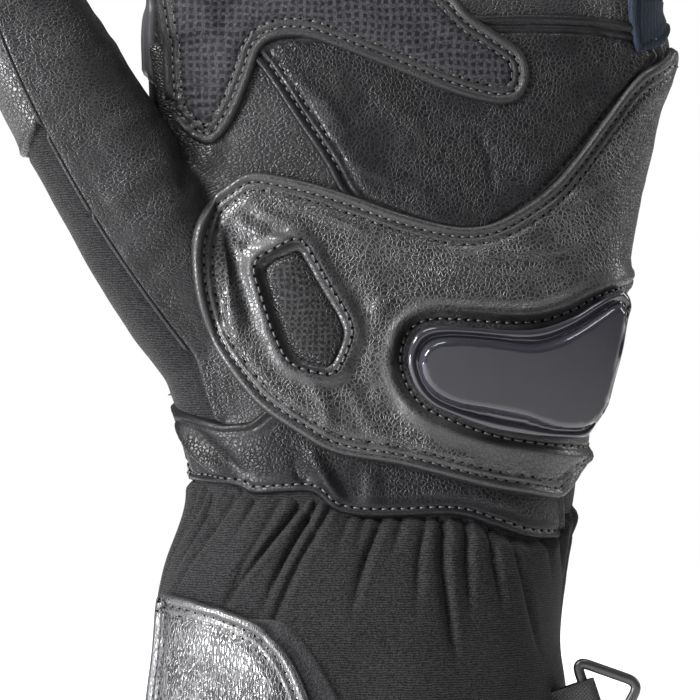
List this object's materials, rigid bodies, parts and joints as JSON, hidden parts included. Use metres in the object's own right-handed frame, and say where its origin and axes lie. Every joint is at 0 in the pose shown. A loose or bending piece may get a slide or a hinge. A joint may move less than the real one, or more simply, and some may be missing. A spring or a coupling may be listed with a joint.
{
  "type": "ski glove",
  "caption": "Left-hand insulated leather and softshell glove with a gathered wrist, gauntlet cuff, closure flap, palm slider and clip ring.",
  "frame": {"origin": "centre of the footprint box, on the plane of the cuff hem that the glove stands on", "axes": "+Z from the hem to the fingertips, palm faces -Y, little finger side +X, thumb side -X"},
  "size_m": [0.159, 0.0872, 0.2931],
  "materials": {
    "leather": "pebbled black leather, satin",
    "softshell": "fine ribbed softshell, matte",
    "grip_print": "printed dot grip, matte",
    "side_knit": "navy black stretch knit, matte",
    "slider_plastic": "polished black",
    "ring_plastic": "satin moulded black",
    "elastic": "black woven webbing",
    "loop_pile": "black looped pile",
    "hook_tape": "black moulded hooks",
    "fleece": "dark grey fleece",
    "wadding": "white polyester wadding"
  },
  "bodies": {
    "cuff": {"cuff_shell": "softshell", "cuff_insulation": "wadding", "cuff_lining": "fleece", "hem_binding": "softshell", "loop_patch": "loop_pile", "ring_webbing": "elastic"},
    "hand": {"palm_shell": "leather", "back_shell": "softshell", "wrist_elastic": "elastic", "hand_insulation": "wadding", "hand_lining": "fleece", "palm_overlay": "leather", "wrist_band": "leather", "grip_panel": "grip_print", "side_panel": "side_knit", "thenar_pad": "grip_print", "slider_bezel": "leather", "palm_slider": "slider_plastic", "knuckle_pad": "leather"},
    "index_base": {"index_base": "leather", "index_base_lining": "fleece"},
    "index_tip": {"index_tip": "leather", "index_tip_lining": "fleece"},
    "middle_base": {"middle_base": "leather", "middle_base_lining": "fleece"},
    "middle_tip": {"middle_tip": "leather", "middle_tip_lining": "fleece"},
    "ring_base": {"ring_base": "leather", "ring_base_lining": "fleece"},
    "ring_tip": {"ring_tip": "leather", "ring_tip_lining": "fleece"},
    "little_base": {"little_base": "leather", "little_base_lining": "fleece"},
    "little_tip": {"little_tip": "leather", "little_tip_lining": "fleece"},
    "thumb_base": {"thumb_base": "leather", "thumb_base_lining": "fleece"},
    "thumb_tip": {"thumb_tip": "leather", "thumb_tip_lining": "fleece"},
    "flap": {"closure_flap": "leather", "flap_hook_pad": "hook_tape"},
    "clip_ring": {"clip_ring": "ring_plastic"}
  },
  "joints": [
    {"name": "wrist_bend", "type": "hinge", "parent": "cuff", "child": "hand", "pos_m": [0.01447, 0.00025, 0.079], "axis": [1, 0, 0], "range_deg": [-20, 20]},
    {"name": "index_root", "type": "hinge", "parent": "hand", "child": "index_base", "pos_m": [-0.02452, -0.00025, 0.21899], "axis": [1, 0, 0], "range_deg": [-8, 70]},
    {"name": "index_knuckle", "type": "hinge", "parent": "index_base", "child": "index_tip", "pos_m": [-0.02559, -0.00295, 0.24986], "axis": [1, 0, 0], "range_deg": [-5, 75]},
    {"name": "middle_root", "type": "hinge", "parent": "hand", "child": "middle_base", "pos_m": [0.00647, -0.00025, 0.22], "axis": [1, 0, 0], "range_deg": [-8, 70]},
    {"name": "middle_knuckle", "type": "hinge", "parent": "middle_base", "child": "middle_tip", "pos_m": [0.00647, -0.00339, 0.25586], "axis": [1, 0, 0], "range_deg": [-5, 75]},
    {"name": "ring_root", "type": "hinge", "parent": "hand", "child": "ring_base", "pos_m": [0.03655, -0.00025, 0.21949], "axis": [1, 0, 0], "range_deg": [-8, 70]},
    {"name": "ring_knuckle", "type": "hinge", "parent": "ring_base", "child": "ring_tip", "pos_m": [0.0377, -0.00313, 0.25235], "axis": [1, 0, 0], "range_deg": [-5, 75]},
    {"name": "little_root", "type": "hinge", "parent": "hand", "child": "little_base", "pos_m": [0.06403, -0.00025, 0.21596], "axis": [1, 0, 0], "range_deg": [-8, 70]},
    {"name": "little_knuckle", "type": "hinge", "parent": "little_base", "child": "little_tip", "pos_m": [0.06611, -0.00234, 0.23978], "axis": [1, 0, 0], "range_deg": [-5, 75]},
    {"name": "thumb_root", "type": "hinge", "parent": "hand", "child": "thumb_base", "pos_m": [-0.04537, -0.01275, 0.16497], "axis": [0.8621, 0, 0.5068], "range_deg": [0, 30]},
    {"name": "thumb_knuckle", "type": "hinge", "parent": "thumb_base", "child": "thumb_tip", "pos_m": [-0.06007, -0.01475, 0.18997], "axis": [0.8621, 0, 0.5068], "range_deg": [-5, 45]},
    {"name": "flap_hinge", "type": "hinge", "parent": "cuff", "child": "flap", "pos_m": [-0.0403, -0.028, 0.0135], "axis": [-0.1115, -0.165, -0.98], "range_deg": [0, 100]},
    {"name": "ring_swing", "type": "hinge", "parent": "cuff", "child": "clip_ring", "pos_m": [0.05547, -0.01575, 0.0586], "axis": [0.3192, 0, -0.9477], "range_deg": [-60, 60]}
  ]
}
